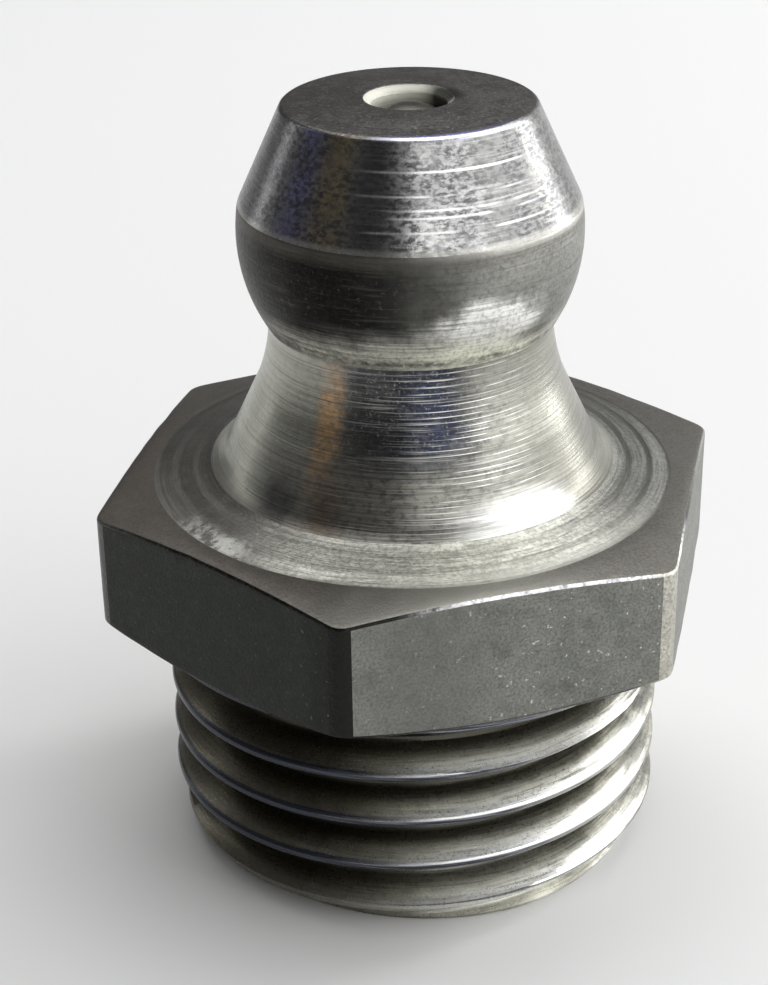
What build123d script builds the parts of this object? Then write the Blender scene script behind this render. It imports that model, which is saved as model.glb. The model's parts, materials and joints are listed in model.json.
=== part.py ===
from build123d import *

import os
from math import acos, asin, ceil, cos, degrees, pi, radians, sin, sqrt, tan

# Grease nipple with a conical head, to be screwed in with an 11 mm spanner.
# It stands on its threaded end: the axis is Z, and Z = 0 is the threaded end face.
# The thread is M10 x 1. The shank here is its plain major cylinder.
# All sizes are in millimetres.

# Threaded shank
THREAD_DIAMETER = 9.9            # over the crests
SHANK_LENGTH = 4.85              # from the end face to the seat under the hexagon
LEAD_IN_LENGTH = 0.8             # chamfer at the end of the thread, along the axis
LEAD_IN_DEPTH = 0.42             # and across it
RELIEF_WIDTH = 0.8               # groove between the thread and the seat
RELIEF_DEPTH = 0.62              # as deep as the thread's root
RELIEF_MARGIN = 0.05             # from the crests out to where the groove meets the seat
THREAD_FLANK_ANGLE = 30.0        # slope of both sides of the groove, cut with the thread's tool

# Hexagon and the turned collar that seats on the machine
HEXAGON_SIDES = 6
ACROSS_FLATS = 11.0
HEXAGON_HEIGHT = 2.7
CORNER_RADIUS = 0.4              # on the upright edges of the drawn bar
COLLAR_HEIGHT = 0.15
COLLAR_INSET = 0.15              # from the flats in to the collar
TOP_BEVEL_INSET = 0.2            # from the flats in to where the upper bevel starts
TOP_BEVEL_ANGLE = 10.0
BOTTOM_BEVEL_ANGLE = 18.0
RING_INSET = 0.4                 # from the flats in to the edge of the turned ring
RING_ANGLE = 12.0                # slope of the ring, down towards the flats

# Head that the grease gun's coupler grips: a cone on a sphere
TOTAL_HEIGHT = 15.08
CROWN_HEIGHT = 0.08              # the top face rises slightly towards the inlet
TOP_FACE_DIAMETER = 4.7
TOP_EDGE_RADIUS = 0.12
CONE_HEIGHT = 1.85               # from the rim of the top face to the ridge
HEAD_DIAMETER = 6.5              # of the sphere
HEAD_CENTRE_DEPTH = 2.4          # from the rim of the top face to the middle of the sphere
NECK_DIAMETER = 5.42
NECK_LIP = 0.03                  # small step where the sphere ends at the neck
NECK_LENGTH = 0.7                # from the step down to where neck and flare would meet
NECK_RADIUS = 2.9                # hollow curve from the neck into the flare
FLARE_ANGLE = 25.5               # from the axis
NECK_STRAIGHT = 0.02             # at least, beside the hollow curve
FOOT_RADIUS = 0.5                # where the flare runs out into the ring

# Bore, with the ball's seat at the top and a rolled-in lip under the spring
INLET_DIAMETER = 1.4
INLET_MOUTH_DIAMETER = 1.7
INLET_MOUTH_DEPTH = 0.12
INLET_LENGTH = 0.36              # from the middle of the top face to the seat
SEAT_ANGLE = 40.0                # from the axis
SPRING_LIP_HEIGHT = 0.3
SPRING_LIP_DEPTH = 0.45          # how far the lip reaches in from the bore
STAKED_MOUTH_DIAMETER = 3.4      # conical mouth that the rolling tool leaves
STAKED_MOUTH_DEPTH = 0.45

# Check ball and its spring
BALL_DIAMETER = 2.0
BALL_GUIDE_CLEARANCE = 0.2       # between the ball and the bore, all round
SEAT_CLEARANCE = 0.02            # between the ball and its seat
WIRE_DIAMETER = 0.28
WIRE_SIDES = 8                   # the thin round wire is drawn with flats, as its coil is long
SPRING_GUIDE_CLEARANCE = 0.15    # between the coils and the bore, all round
SPRING_END_CLEARANCE = 0.02      # between the spring and what it bears on
CLOSED_COIL_PITCH = 0.3          # in the last turn at each end
SPRING_COIL_SPACING = 2.0        # largest pitch of the working turns

# Levels along the axis
seat_z = SHANK_LENGTH
hexagon_bottom_z = seat_z + COLLAR_HEIGHT
hexagon_top_z = hexagon_bottom_z + HEXAGON_HEIGHT
rim_z = TOTAL_HEIGHT - CROWN_HEIGHT
head_centre_z = rim_z - HEAD_CENTRE_DEPTH
ridge_z = rim_z - CONE_HEIGHT
ball_seat_z = TOTAL_HEIGHT - INLET_LENGTH
spring_seat_z = STAKED_MOUTH_DEPTH + SPRING_LIP_HEIGHT

# Radii
flat_radius = ACROSS_FLATS / 2
ring_radius = flat_radius - RING_INSET
collar_radius = flat_radius - COLLAR_INSET
thread_radius = THREAD_DIAMETER / 2
neck_radius = NECK_DIAMETER / 2
head_radius = HEAD_DIAMETER / 2
inlet_radius = INLET_DIAMETER / 2
mouth_radius = INLET_MOUTH_DIAMETER / 2
bore_radius = BALL_DIAMETER / 2 + BALL_GUIDE_CLEARANCE
lip_radius = bore_radius - SPRING_LIP_DEPTH


def bevelled_hexagon_outline():
    """Half outline that trims both ends of the hexagon to shallow cones."""
    reach = flat_radius / cos(pi / HEXAGON_SIDES)    # where the flats would meet in sharp corners
    top_start = flat_radius - TOP_BEVEL_INSET
    top_drop = (reach - top_start) * tan(radians(TOP_BEVEL_ANGLE))
    bottom_rise = (reach - collar_radius) * tan(radians(BOTTOM_BEVEL_ANGLE))
    return (
        (0, hexagon_bottom_z),
        (collar_radius, hexagon_bottom_z),
        (reach, hexagon_bottom_z + bottom_rise),
        (reach, hexagon_top_z - top_drop),
        (top_start, hexagon_top_z),
        (0, hexagon_top_z),
    )


def flare_corners(neck_top_z):
    """Where the neck and the flare would meet, and where the flare and the ring would."""
    flare_slope = tan(radians(FLARE_ANGLE))    # outwards for each millimetre down
    ring_slope = tan(radians(RING_ANGLE))      # down for each millimetre outwards
    flare_top_z = neck_top_z - NECK_LENGTH
    drop = flare_top_z - hexagon_top_z - (ring_radius - neck_radius) * ring_slope
    drop /= 1 - flare_slope * ring_slope
    return Vector(neck_radius, flare_top_z), Vector(neck_radius + drop * flare_slope, flare_top_z - drop)


def neck_curve(flare_length):
    """Radius of the neck's hollow curve, which the neck and the flare have to leave room for."""
    foot_turn = radians(90 - FLARE_ANGLE - RING_ANGLE)
    foot_reach = FOOT_RADIUS * tan(foot_turn / 2)
    reach = min(NECK_LENGTH, flare_length - foot_reach) - NECK_STRAIGHT
    return min(NECK_RADIUS, reach / tan(radians(FLARE_ANGLE) / 2))


with BuildPart() as body:
    # Hexagon, with both ends bevelled
    with BuildSketch(Plane.XY.offset(hexagon_bottom_z)) as hexagon:
        RegularPolygon(radius=flat_radius, side_count=HEXAGON_SIDES, major_radius=False)
        fillet(hexagon.vertices(), radius=CORNER_RADIUS)
    extrude(amount=HEXAGON_HEIGHT)
    with BuildSketch(Plane.XZ):
        with BuildLine():
            Polyline(*bevelled_hexagon_outline(), close=True)
        make_face()
    revolve(axis=Axis.Z, mode=Mode.INTERSECT)

    # Head, neck, flare and turned ring
    with BuildSketch(Plane.XZ):
        with BuildLine():
            ridge_angle = degrees(asin((ridge_z - head_centre_z) / head_radius))
            neck_angle = -degrees(acos((neck_radius + NECK_LIP) / head_radius))
            sphere = CenterArc((0, head_centre_z), head_radius, ridge_angle, neck_angle - ridge_angle)
            top_face = Line((0, TOTAL_HEIGHT), (mouth_radius, TOTAL_HEIGHT))
            cone = FilletPolyline(
                top_face @ 1,
                (TOP_FACE_DIAMETER / 2, rim_z),
                sphere @ 0,
                radius=TOP_EDGE_RADIUS,
            )
            neck_top = Vector(neck_radius, (sphere @ 1).Y)
            flare_top, foot = flare_corners(neck_top.Y)
            flare = FilletPolyline(
                neck_top,
                flare_top,
                foot,
                (ring_radius, hexagon_top_z),
                radius=[neck_curve((foot - flare_top).length), FOOT_RADIUS],
            )
            Line(sphere @ 1, flare @ 0)
            Polyline(
                flare @ 1,
                (ring_radius, hexagon_bottom_z),
                (0, hexagon_bottom_z),
                top_face @ 0,
            )
        make_face()
    revolve(axis=Axis.Z)

    # Collar, relief groove and shank
    with BuildSketch(Plane.XZ):
        with BuildLine():
            relief_radius = thread_radius - RELIEF_DEPTH
            relief_z = seat_z - RELIEF_WIDTH
            flank_slope = tan(radians(THREAD_FLANK_ANGLE))
            end_radius = thread_radius - LEAD_IN_DEPTH
            Polyline(
                (collar_radius, seat_z),
                (thread_radius + RELIEF_MARGIN, seat_z),
                (relief_radius, seat_z - (RELIEF_DEPTH + RELIEF_MARGIN) * flank_slope),
                (relief_radius, relief_z),
                (thread_radius, relief_z - RELIEF_DEPTH * flank_slope),
                (thread_radius, LEAD_IN_LENGTH),
                (end_radius, 0),
                (0, 0),
                (0, hexagon_top_z),
                (ring_radius, hexagon_top_z),
                (ring_radius, hexagon_bottom_z),
                (collar_radius, hexagon_bottom_z),
                close=True,
            )
        make_face()
    revolve(axis=Axis.Z)

    # Bore from the inlet to the staked mouth
    with BuildSketch(Plane.XZ):
        with BuildLine():
            seat_depth = (bore_radius - inlet_radius) / tan(radians(SEAT_ANGLE))
            Polyline(
                (0, TOTAL_HEIGHT),
                (mouth_radius, TOTAL_HEIGHT),
                (inlet_radius, TOTAL_HEIGHT - INLET_MOUTH_DEPTH),
                (inlet_radius, ball_seat_z),
                (bore_radius, ball_seat_z - seat_depth),
                (bore_radius, spring_seat_z),
                (lip_radius, spring_seat_z),
                (lip_radius, STAKED_MOUTH_DEPTH),
                (STAKED_MOUTH_DIAMETER / 2, 0),
                (0, 0),
                close=True,
            )
        make_face()
    revolve(axis=Axis.Z, mode=Mode.SUBTRACT)
body.part.label = "body"

# The ball rests in the seat's cone, a little below the top face.
ball_radius = BALL_DIAMETER / 2
ball_reach = ball_radius + SEAT_CLEARANCE
seat_angle = radians(SEAT_ANGLE)
ball_z = ball_seat_z + (inlet_radius * cos(seat_angle) - ball_reach) / sin(seat_angle)

with BuildPart() as check_ball:
    with Locations((0, 0, ball_z)):
        Sphere(ball_radius)
check_ball.part.label = "check_ball"

# The spring stands on the lip, and its last turn meets the ball from below.
wire_radius = WIRE_DIAMETER / 2
coil_radius = bore_radius - SPRING_GUIDE_CLEARANCE - wire_radius
ball_to_wire = ball_radius + wire_radius + SPRING_END_CLEARANCE
coil_bottom_z = spring_seat_z + wire_radius + SPRING_END_CLEARANCE
coil_top_z = ball_z - sqrt(ball_to_wire ** 2 - coil_radius ** 2)
working_height = coil_top_z - coil_bottom_z - 2 * CLOSED_COIL_PITCH
working_turns = ceil(working_height / SPRING_COIL_SPACING)
working_pitch = working_height / working_turns

with BuildPart() as ball_spring:
    with BuildLine() as coil:
        Helix(CLOSED_COIL_PITCH, CLOSED_COIL_PITCH, coil_radius, center=(0, 0, coil_bottom_z))
        Helix(
            working_pitch,
            working_height,
            coil_radius,
            center=(0, 0, coil_bottom_z + CLOSED_COIL_PITCH),
        )
        Helix(
            CLOSED_COIL_PITCH,
            CLOSED_COIL_PITCH,
            coil_radius,
            center=(0, 0, coil_top_z - CLOSED_COIL_PITCH),
        )
    with BuildSketch(Plane(origin=coil.line @ 0, z_dir=coil.line % 0)):
        RegularPolygon(radius=wire_radius, side_count=WIRE_SIDES)
    sweep(path=coil.line, is_frenet=True)
ball_spring.part.label = "ball_spring"

os.makedirs("parts", exist_ok=True)
export_step(body.part, "parts/body.step")
export_step(check_ball.part, "parts/check_ball.step")
export_step(ball_spring.part, "parts/ball_spring.step")
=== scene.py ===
import json
from math import asin, atan2, cos, pi, radians, sin, sqrt, tan
from types import SimpleNamespace

import bmesh
import bpy
from bpy.types import Operator, Panel, PropertyGroup
from mathutils import Matrix, Vector, noise


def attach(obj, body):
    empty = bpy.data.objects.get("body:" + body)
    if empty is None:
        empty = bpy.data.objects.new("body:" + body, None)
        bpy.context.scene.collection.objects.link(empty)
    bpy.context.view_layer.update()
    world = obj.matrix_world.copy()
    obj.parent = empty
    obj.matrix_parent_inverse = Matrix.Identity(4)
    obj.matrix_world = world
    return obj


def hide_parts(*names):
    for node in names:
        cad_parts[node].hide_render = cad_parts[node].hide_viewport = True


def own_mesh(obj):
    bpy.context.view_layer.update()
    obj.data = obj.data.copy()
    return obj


bl_info = {
    "name": "Grease Nipple",
    "version": (1, 0, 0),
    "blender": (4, 5, 0),
    "location": "View3D > Sidebar > Nipple",
    "description": "Builds a grease nipple: its turned body, check ball, spring and a stage",
    "category": "Add Mesh",
}

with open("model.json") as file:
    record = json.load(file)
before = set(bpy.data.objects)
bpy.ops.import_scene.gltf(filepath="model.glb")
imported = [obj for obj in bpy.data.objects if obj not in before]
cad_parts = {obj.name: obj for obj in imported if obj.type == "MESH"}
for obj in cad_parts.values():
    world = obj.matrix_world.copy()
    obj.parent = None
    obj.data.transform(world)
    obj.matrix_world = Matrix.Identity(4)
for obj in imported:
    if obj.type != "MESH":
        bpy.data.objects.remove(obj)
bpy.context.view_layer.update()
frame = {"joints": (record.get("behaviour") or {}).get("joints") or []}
MM = 0.001
TURN = 2 * pi

# Steps round the body, along each turn of the spring and round its wire.
BODY_STEPS = 360
SPRING_STEPS = 64
WIRE_SIDES = 14

# How far the thread's flanks lean, and the height of the strip that joins it to the body.
THREAD_TILT = radians(30)
RELIEF_JOIN = 0.08

# The turned flange is this much larger than the hexagon that it is pressed to.
FLANGE_SPARE = 1

# In millimetres, what counts as one point, as on a cutting plane, and as at a height.
SAME_POINT = 1e-4
ON_PLANE = 1e-5
AT_HEIGHT = 1e-3

# The normal's least Z on a level face, and its greatest Z on an upright one.
LEVEL = 0.93
UPRIGHT = 0.1

# Waves per millimetre on the ring, and per radian along the hexagon's worn edges.
RING_WAVES = 3.1
EDGE_WAVES = 9

# The camera's side of the nipple in degrees from +X, its place, its turns and its lens.
CAMERA_SIDE = -108.1
CAMERA_PLACE = (-0.01161, -0.03552, 0.02578)
CAMERA_TURN, CAMERA_FALL, CAMERA_ROLL = -17.242, 26.607, -0.862
CAMERA_LENS = 77.08

# The soft boxes beside the nipple, in metres: width, length, degrees to the right of the
# camera's side, distance and height.
SOFT_BOXES = {
    "key": (0.5, 0.4, 88, 0.3, 0.202),
    "fill": (0.3, 0.4, 28, 0.3, 0.202),
    "back": (0.22, 0.2, 140, 0.32, 0.102),
    "rim": (0.04, 0.24, 117, 0.22, 0.122),
    "strip": (0.04, 0.2, -120, 0.24, 0.102),
}


def number(name, description, value, **kind):
    """A number in the sidebar."""
    return bpy.props.FloatProperty(name=name, description=description, default=value, **kind)


def length(name, description, size):
    """A size in millimetres, which the sidebar shows as a length."""
    return number(name, description, size * MM, min=0, unit="LENGTH", precision=5)


def angle(name, description, degrees):
    """An angle in degrees."""
    return number(name, description, radians(degrees), subtype="ANGLE")


def strength(name, description, value, unit="POWER"):
    """The power of a lamp, in watts, or the strength of other light."""
    return number(name, description, value, min=0, unit=unit)


def colour(name, description, *rgb):
    """A surface colour."""
    return bpy.props.FloatVectorProperty(
        name=name, description=description, default=rgb, min=0, max=1, subtype="COLOR"
    )


class HeadSettings(PropertyGroup):
    """Sizes of the turned head, neck and ring."""

    total_height: length("Total height", "From the threaded end to the inlet's rim", 15.08)
    crown: length("Crown", "Rise of the top face from its edge to the inlet", 0.08)
    top_radius: length("Top radius", "Top face, up to the cone", 2.35)
    cone_height: length("Cone height", "From the ridge to the top face's edge", 1.85)
    ball_radius: length("Head radius", "The ball head that a coupler grips", 3.25)
    ball_height: length("Head centre", "Height of the ball head's centre", 12.6)
    neck_radius: length("Neck radius", "The neck under the head", 2.71)
    neck_lip: length("Neck lip", "Step from the head down to the neck", 0.03)
    neck_curve: length("Neck curve", "Radius of the curve from the neck into the flare", 2.9)
    flare_top: length("Flare top", "Height at which the neck's and the flare's lines meet", 10.152)
    flare_angle: angle("Flare angle", "The flare's slope from the upright", 25.5)
    foot_radius: length("Foot radius", "Rounding where the flare meets the ring", 0.75)
    ring_radius: length("Ring radius", "Outer edge of the turned ring", 5.1)
    ring_angle: angle("Ring angle", "The ring's fall towards the hexagon", 12)
    ring_wave: length("Ring wave", "Height of the tool's shallow waves on the ring", 0.012)
    ridge_radius: length("Ridge radius", "Wear of the ridge between cone and ball head", 0.2)
    rim_radius: length("Rim radius", "Wear of the top face's rim", 0.12)


class BoreSettings(PropertyGroup):
    """Sizes of the inlet, the ball's seat and the bore."""

    inlet_radius: length("Inlet radius", "The hole that the grease goes in by", 0.7)
    mouth_radius: length("Inlet mouth radius", "The inlet's worn edge", 0.85)
    mouth_depth: length("Inlet mouth depth", "Depth of the inlet's worn edge", 0.12)
    seat_top: length("Seat top", "Height at which the ball's seat starts", 14.72)
    seat_angle: angle("Seat angle", "The seat's slope from the upright", 40)
    bore_radius: length("Bore radius", "The bore that holds the ball and spring", 1.2)
    bore_foot: length("Bore foot", "Height of the lip that the spring stands on", 0.75)
    lip_radius: length("Lip radius", "The lip's opening", 0.75)
    lip_foot: length("Lip foot", "Height of the lip's lower edge", 0.45)
    outlet_radius: length("Outlet radius", "The conical mouth in the threaded end", 1.7)


class HexagonSettings(PropertyGroup):
    """Sizes of the hexagon and the collar under it."""

    across_flats: length("Across flats", "Spanner size", 11)
    top: length("Top", "Height of the hexagon's end face", 7.7)
    foot: length("Foot", "Height of the hexagon's underside", 5)
    corner_radius: length("Corner radius", "Rounding of the upright corners", 0.4)
    top_bevel_radius: length("Top bevel radius", "Where the upper bevel starts", 5.3)
    top_bevel_angle: angle("Top bevel angle", "Fall of the upper bevel", 10)
    foot_bevel_radius: length("Foot bevel radius", "Where the lower bevel starts", 5.35)
    foot_bevel_angle: angle("Foot bevel angle", "Rise of the lower bevel", 18)
    edge: length("Edge", "Wear of the edges round the flats", 0.06)
    edge_wave: length("Edge wave", "Unevenness of those edges", 0.018)
    collar_foot: length("Collar foot", "Height of the collar's seat face", 4.85)


class ThreadSettings(PropertyGroup):
    """Sizes of the thread, its lead-in and its relief groove."""

    radius: length("Thread radius", "Over the crests", 4.95)
    pitch: length("Pitch", "From one crest to the next", 1)
    depth: length("Depth", "From the crests to the roots", 0.6134)
    crest_height: length("Crest height", "Height of a crest on the +X side", 0.923)
    crest_wear: length("Crest wear", "Rounding of the crests' edges", 0.06)
    lead_in_height: length("Lead-in height", "Height of the chamfer at the end", 0.8)
    lead_in_radius: length("Lead-in radius", "The end face's outer edge", 4.53)
    relief_start: length("Relief start", "Height at which the groove starts", 3.692)
    relief_floor: length("Relief floor", "Height at which the groove's floor starts", 4.05)
    relief_top: length("Relief top", "Height at which the groove's floor ends", 4.463)
    relief_radius: length("Relief radius", "The groove's floor", 4.33)
    seat_inner_radius: length("Seat inner radius", "Inner edge of the collar's seat face", 5)


class BallSettings(PropertyGroup):
    """Size and place of the check ball."""

    radius: length("Ball radius", "The check ball", 1)
    height: length("Ball height", "Height of the ball's centre on its seat", 13.967)


class SpringSettings(PropertyGroup):
    """Sizes of the spring under the check ball."""

    wire_radius: length("Wire radius", "The spring's wire", 0.14)
    coil_radius: length("Coil radius", "Mean radius of a turn", 0.91)
    foot: length("Foot", "Height of the wire's middle at the lower end", 0.91)
    head: length("Head", "Height of the wire's middle at the upper end", 13.247)
    closed_pitch: length("Closed pitch", "Rise of the closed turn at each end", 0.3)
    squeezed_gap: length("Squeezed gap", "Room kept under the ball when it is right down", 0.06)
    working_turns: bpy.props.IntProperty(
        name="Working turns", description="Open turns between the closed ones", default=6, min=1
    )


class FinishSettings(PropertyGroup):
    """Colours of the metal surfaces and the floor."""

    top_face: colour("Top face", "Plating on the top face", 0.2, 0.195, 0.18)
    # Painted shade on the side of the top face away from the key lamp.
    top_face_painted_shade: colour("Top face painted shade", "Duller side of the top face", 0.14, 0.126, 0.116)
    cone: colour("Cone", "Plating on the head's cone", 0.3, 0.3, 0.295)
    # Painted blue and brown reflections, in bands on the cone.
    cone_blue: colour("Cone blue", "Blue stain on the cone", 0.25, 0.24, 0.46)
    cone_brown: colour("Cone brown", "Brown stain on the cone", 0.33, 0.27, 0.175)
    ball_head: colour("Ball head", "Plating on the ball head", 0.15, 0.148, 0.135)
    # Painted shade on the side of the ball head away from the key lamp.
    ball_head_painted_shade: colour("Ball head painted shade", "Dark side of the head", 0.011, 0.0105, 0.0095)
    neck: colour("Neck", "Plating on the neck and flare", 0.36, 0.355, 0.31)
    # Painted copper reflection, in a band on the neck.
    neck_copper: colour("Neck copper", "Copper stain on the neck", 0.64, 0.42, 0.23)
    ring: colour("Ring", "Plating on the turned ring", 0.11, 0.104, 0.094)
    end_face: colour("End face", "Plating on the hexagon's end face", 0.24, 0.232, 0.21)
    # Painted shade on the side of the end face away from the key lamp.
    end_face_painted_shade: colour("End face painted shade", "Duller side of the end face", 0.14, 0.128, 0.113)
    flats: colour("Flats", "Matte plating on the drawn flats", 0.26, 0.265, 0.24)
    # Painted shade on the flats that face away from the key lamp.
    flats_painted_shade: colour("Flats painted shade", "Dark plating on one side", 0.036, 0.039, 0.034)
    # Painted dark reflection on the edges in front, fading towards the back.
    edges: colour("Edges", "Edges round the flats", 0.022, 0.022, 0.021)
    # Painted highlight along the hexagon's upper edge on the lit side.
    edge_highlight: colour("Edge highlight", "Where the upper edge is rubbed bright", 0.98, 0.97, 1)
    thread: colour("Thread", "Yellowish plating on the thread", 0.6, 0.59, 0.51)
    # Painted shade on the side of the thread away from the key lamp.
    thread_painted_shade: colour("Thread painted shade", "Dark side of the thread", 0.14, 0.132, 0.1)
    bore: colour("Bore", "Pale plating in the inlet", 0.72, 0.71, 0.63)
    ball: colour("Ball", "Polished ball", 0.13, 0.13, 0.11)
    wire: colour("Wire", "Drawn spring wire", 0.3, 0.3, 0.29)
    floor: colour("Floor", "The pale floor", 0.86, 0.86, 0.86)


class StageSettings(PropertyGroup):
    """Strengths of the lamps and the room's own light."""

    key: strength("Key", "Large soft box at the right", 1.4)
    fill: strength("Fill", "Weaker soft box at the front right", 0.38)
    top: strength("Top", "Large soft box overhead", 0.78)
    back: strength("Back", "Low soft box behind the right side", 0.13)
    rim: strength("Rim", "Narrow soft box behind the right side", 0.16)
    strip: strength("Strip", "Narrow soft box behind the left side", 0.03)
    room: strength("Room", "Light from the room", 0.14, "NONE")


class Signal:
    """A socket of a finish's nodes. Arithmetic on it adds Math nodes."""

    def __init__(self, finish, socket):
        self.finish = finish
        self.socket = socket

    def math(self, operation, *values):
        """Adds a Math node with that operation."""
        sockets = dict(enumerate(values))
        return self.finish.node("ShaderNodeMath", {"operation": operation}, sockets)

    def __add__(self, other):
        return self.math("ADD", self, other)

    __radd__ = __add__

    def __sub__(self, other):
        return self.math("SUBTRACT", self, other)

    def __rsub__(self, other):
        return self.math("SUBTRACT", other, self)

    def __mul__(self, other):
        return self.math("MULTIPLY", self, other)

    __rmul__ = __mul__

    def __truediv__(self, other):
        return self.math("DIVIDE", self, other)

    def __pow__(self, other):
        return self.math("POWER", self, other)

    def least(self, other):
        return self.math("MINIMUM", self, other)

    def most(self, other):
        return self.math("MAXIMUM", self, other)

    def sine(self):
        return self.math("SINE", self)

    def step(self, low, high):
        """Rises smoothly from 0 at low to 1 at high."""
        return self.finish.node(
            "ShaderNodeMapRange",
            {"interpolation_type": "SMOOTHSTEP"},
            {"Value": self, "From Min": low, "From Max": high},
        )


class Finish:
    """A metal's material with the nodes that drive its shader."""

    def __init__(self, name):
        self.material = bpy.data.materials.new(name)
        self.material.use_nodes = True
        self.tree = self.material.node_tree
        self.shader = self.tree.nodes["Principled BSDF"]
        place = self.node("ShaderNodeTexCoord", output="Object")
        self.place = self.node(
            "ShaderNodeVectorMath", {"operation": "SCALE"}, {"Vector": place, "Scale": 1 / MM}
        )
        axes = self.node("ShaderNodeSeparateXYZ", {}, {0: self.place}).socket.node.outputs
        self.x, self.y, self.z = (Signal(self, axis) for axis in axes)
        self.radius = (self.x * self.x + self.y * self.y) ** 0.5

    def node(self, kind, settings=None, sockets=None, output=0):
        """Adds a node, with its settings first and then its sockets' values or links."""
        made = self.tree.nodes.new(kind)
        for key, value in (settings or {}).items():
            setattr(made, key, value)
        for key, value in (sockets or {}).items():
            self.feed(made.inputs[key], value)
        return Signal(self, made.outputs[output])

    def feed(self, socket, value):
        """Links a signal to a socket, or sets the socket's value."""
        if isinstance(value, Signal):
            self.tree.links.new(value.socket, socket)
        else:
            socket.default_value = value

    def noise(self, scale, detail=2.0, roughness=0.5, shift=(0, 0, 0), fourth=None):
        """Cloudy noise, with scale in cycles per millimetre along each axis."""
        sockets = {"Vector": self.place, "Location": shift, "Scale": scale}
        place = self.node("ShaderNodeMapping", {}, sockets)
        settings = {"noise_dimensions": "3D" if fourth is None else "4D"}
        sockets = {"Vector": place, "Scale": 1, "Detail": detail, "Roughness": roughness}
        if fourth is not None:
            sockets["W"] = fourth
        return self.node("ShaderNodeTexNoise", settings, sockets)

    def rings(self, along, around, detail=2.0):
        """Turning marks: noise that changes quickly along the outline and slowly round it."""
        return self.noise((around, around, along), detail, 0.6, fourth=self.radius * along)

    def facing(self, degrees):
        """Cosine of the angle round the axis from that direction."""
        side = radians(degrees)
        return (self.x * cos(side) + self.y * sin(side)) / self.radius

    def mix(self, mask, low, high):
        """From colour low to colour high as the mask goes from 0 to 1."""
        low, high = (value if isinstance(value, Signal) else (*value, 1) for value in (low, high))
        # The Mix node's sockets share their names, so the mask and the colours go by number.
        sockets = {0: mask, 6: low, 7: high}
        return self.node("ShaderNodeMix", {"data_type": "RGBA"}, sockets, output=2)

    def bump(self, height, depth):
        """Feeds the shader's normal with marks up to depth millimetres deep."""
        sockets = {"Height": height, "Distance": depth * MM, "Strength": 1}
        self.feed(self.shader.inputs["Normal"], self.node("ShaderNodeBump", {}, sockets))

    def wear(self, tone, mask, wear_and_highlight, marks):
        """Shades a small bright piece that has wear in places and marks all over."""
        self.shade(
            Base_Color=self.mix(mask, tone, wear_and_highlight), Roughness=0.3 + marks * 0.15, Metallic=1.0
        )
        self.bump(marks, 0.001)

    def shade(self, **values):
        """Feeds the shader's other sockets."""
        for key, value in values.items():
            if isinstance(value, tuple) and len(value) == 3:
                value = (*value, 1)
            self.feed(self.shader.inputs[key.replace("_", " ")], value)


class Plating(Finish):
    """Zinc plated steel, with masks for its stains, marks and painted light and shade."""

    def __init__(self, name):
        super().__init__(name)
        normal = self.node("ShaderNodeTexCoord", output="Normal")
        self.upward = self.node("ShaderNodeSeparateXYZ", {}, {0: normal}, output="Z")
        self.speck = self.noise((16, 16, 16), 2, 0.6)
        self.cloud = self.noise((1.3, 1.3, 1.3), 4, 0.65)

    def soft(self, away, ragged):
        """1 where away is 0, falling softly to 0 where it is 1, with a ragged edge."""
        if ragged:
            away = away + (self.cloud - 0.5) * ragged
        return ((1 - away).most(0).least(1)) ** 2

    def side(self, degrees, reach, ragged=0.3):
        """Marks the side that faces that way, fading out that many degrees from it."""
        return self.soft((1 - self.facing(degrees)) / (1 - cos(radians(reach))), ragged)

    def level(self, height, reach, ragged=0.0):
        """Marks a band round that height, in millimetres."""
        away = (self.z - height) / reach
        return self.soft(away * away, ragged)

    def spots(self, size, low=0.4, high=0.7, flat=1.0):
        """Marks cloudy spots of about that size, in millimetres, drawn out round the axis."""
        return self.noise((1 / size, 1 / size, flat / size), 4, 0.65, (size, 3, 7)).step(low, high)

    def lines(self, spacing, arc, low=0.45, high=0.65, detail=2.0):
        """Marks fine turned lines of that spacing and length, in millimetres."""
        return self.rings(1 / spacing, 1 / arc, detail).step(low, high)

    def grooves(self, spacing, low=0.5, high=1.0):
        """Marks the even lines that the tool's feed leaves, broken here and there."""
        drift = self.noise((0.15, 0.15, 0.9), 0) * 9
        phase = (self.radius - self.z) * (0.75 * TURN / spacing) + drift
        return phase.sine().step(low, high) * self.rings(0.4 / spacing, 1.2, 1).step(0.42, 0.6)

    def turned(self, roughness, depth, spacing=0.05, anisotropy=0.3, grain=0.1):
        """Gives the metal the roughness, the gloss and the fine marks of turning."""
        marks = self.rings(1 / spacing, 0.4, 3)
        roughness = roughness + self.speck.step(0.3, 0.7) * 0.1
        self.shade(Roughness=roughness, Metallic=1.0)
        self.shade(Anisotropic=anisotropy, Anisotropic_Rotation=0.25)
        self.bump(marks + self.speck * grain, depth)


# Each finish yields its coats in order: a mask, and the tone that covers what it marks.


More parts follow.
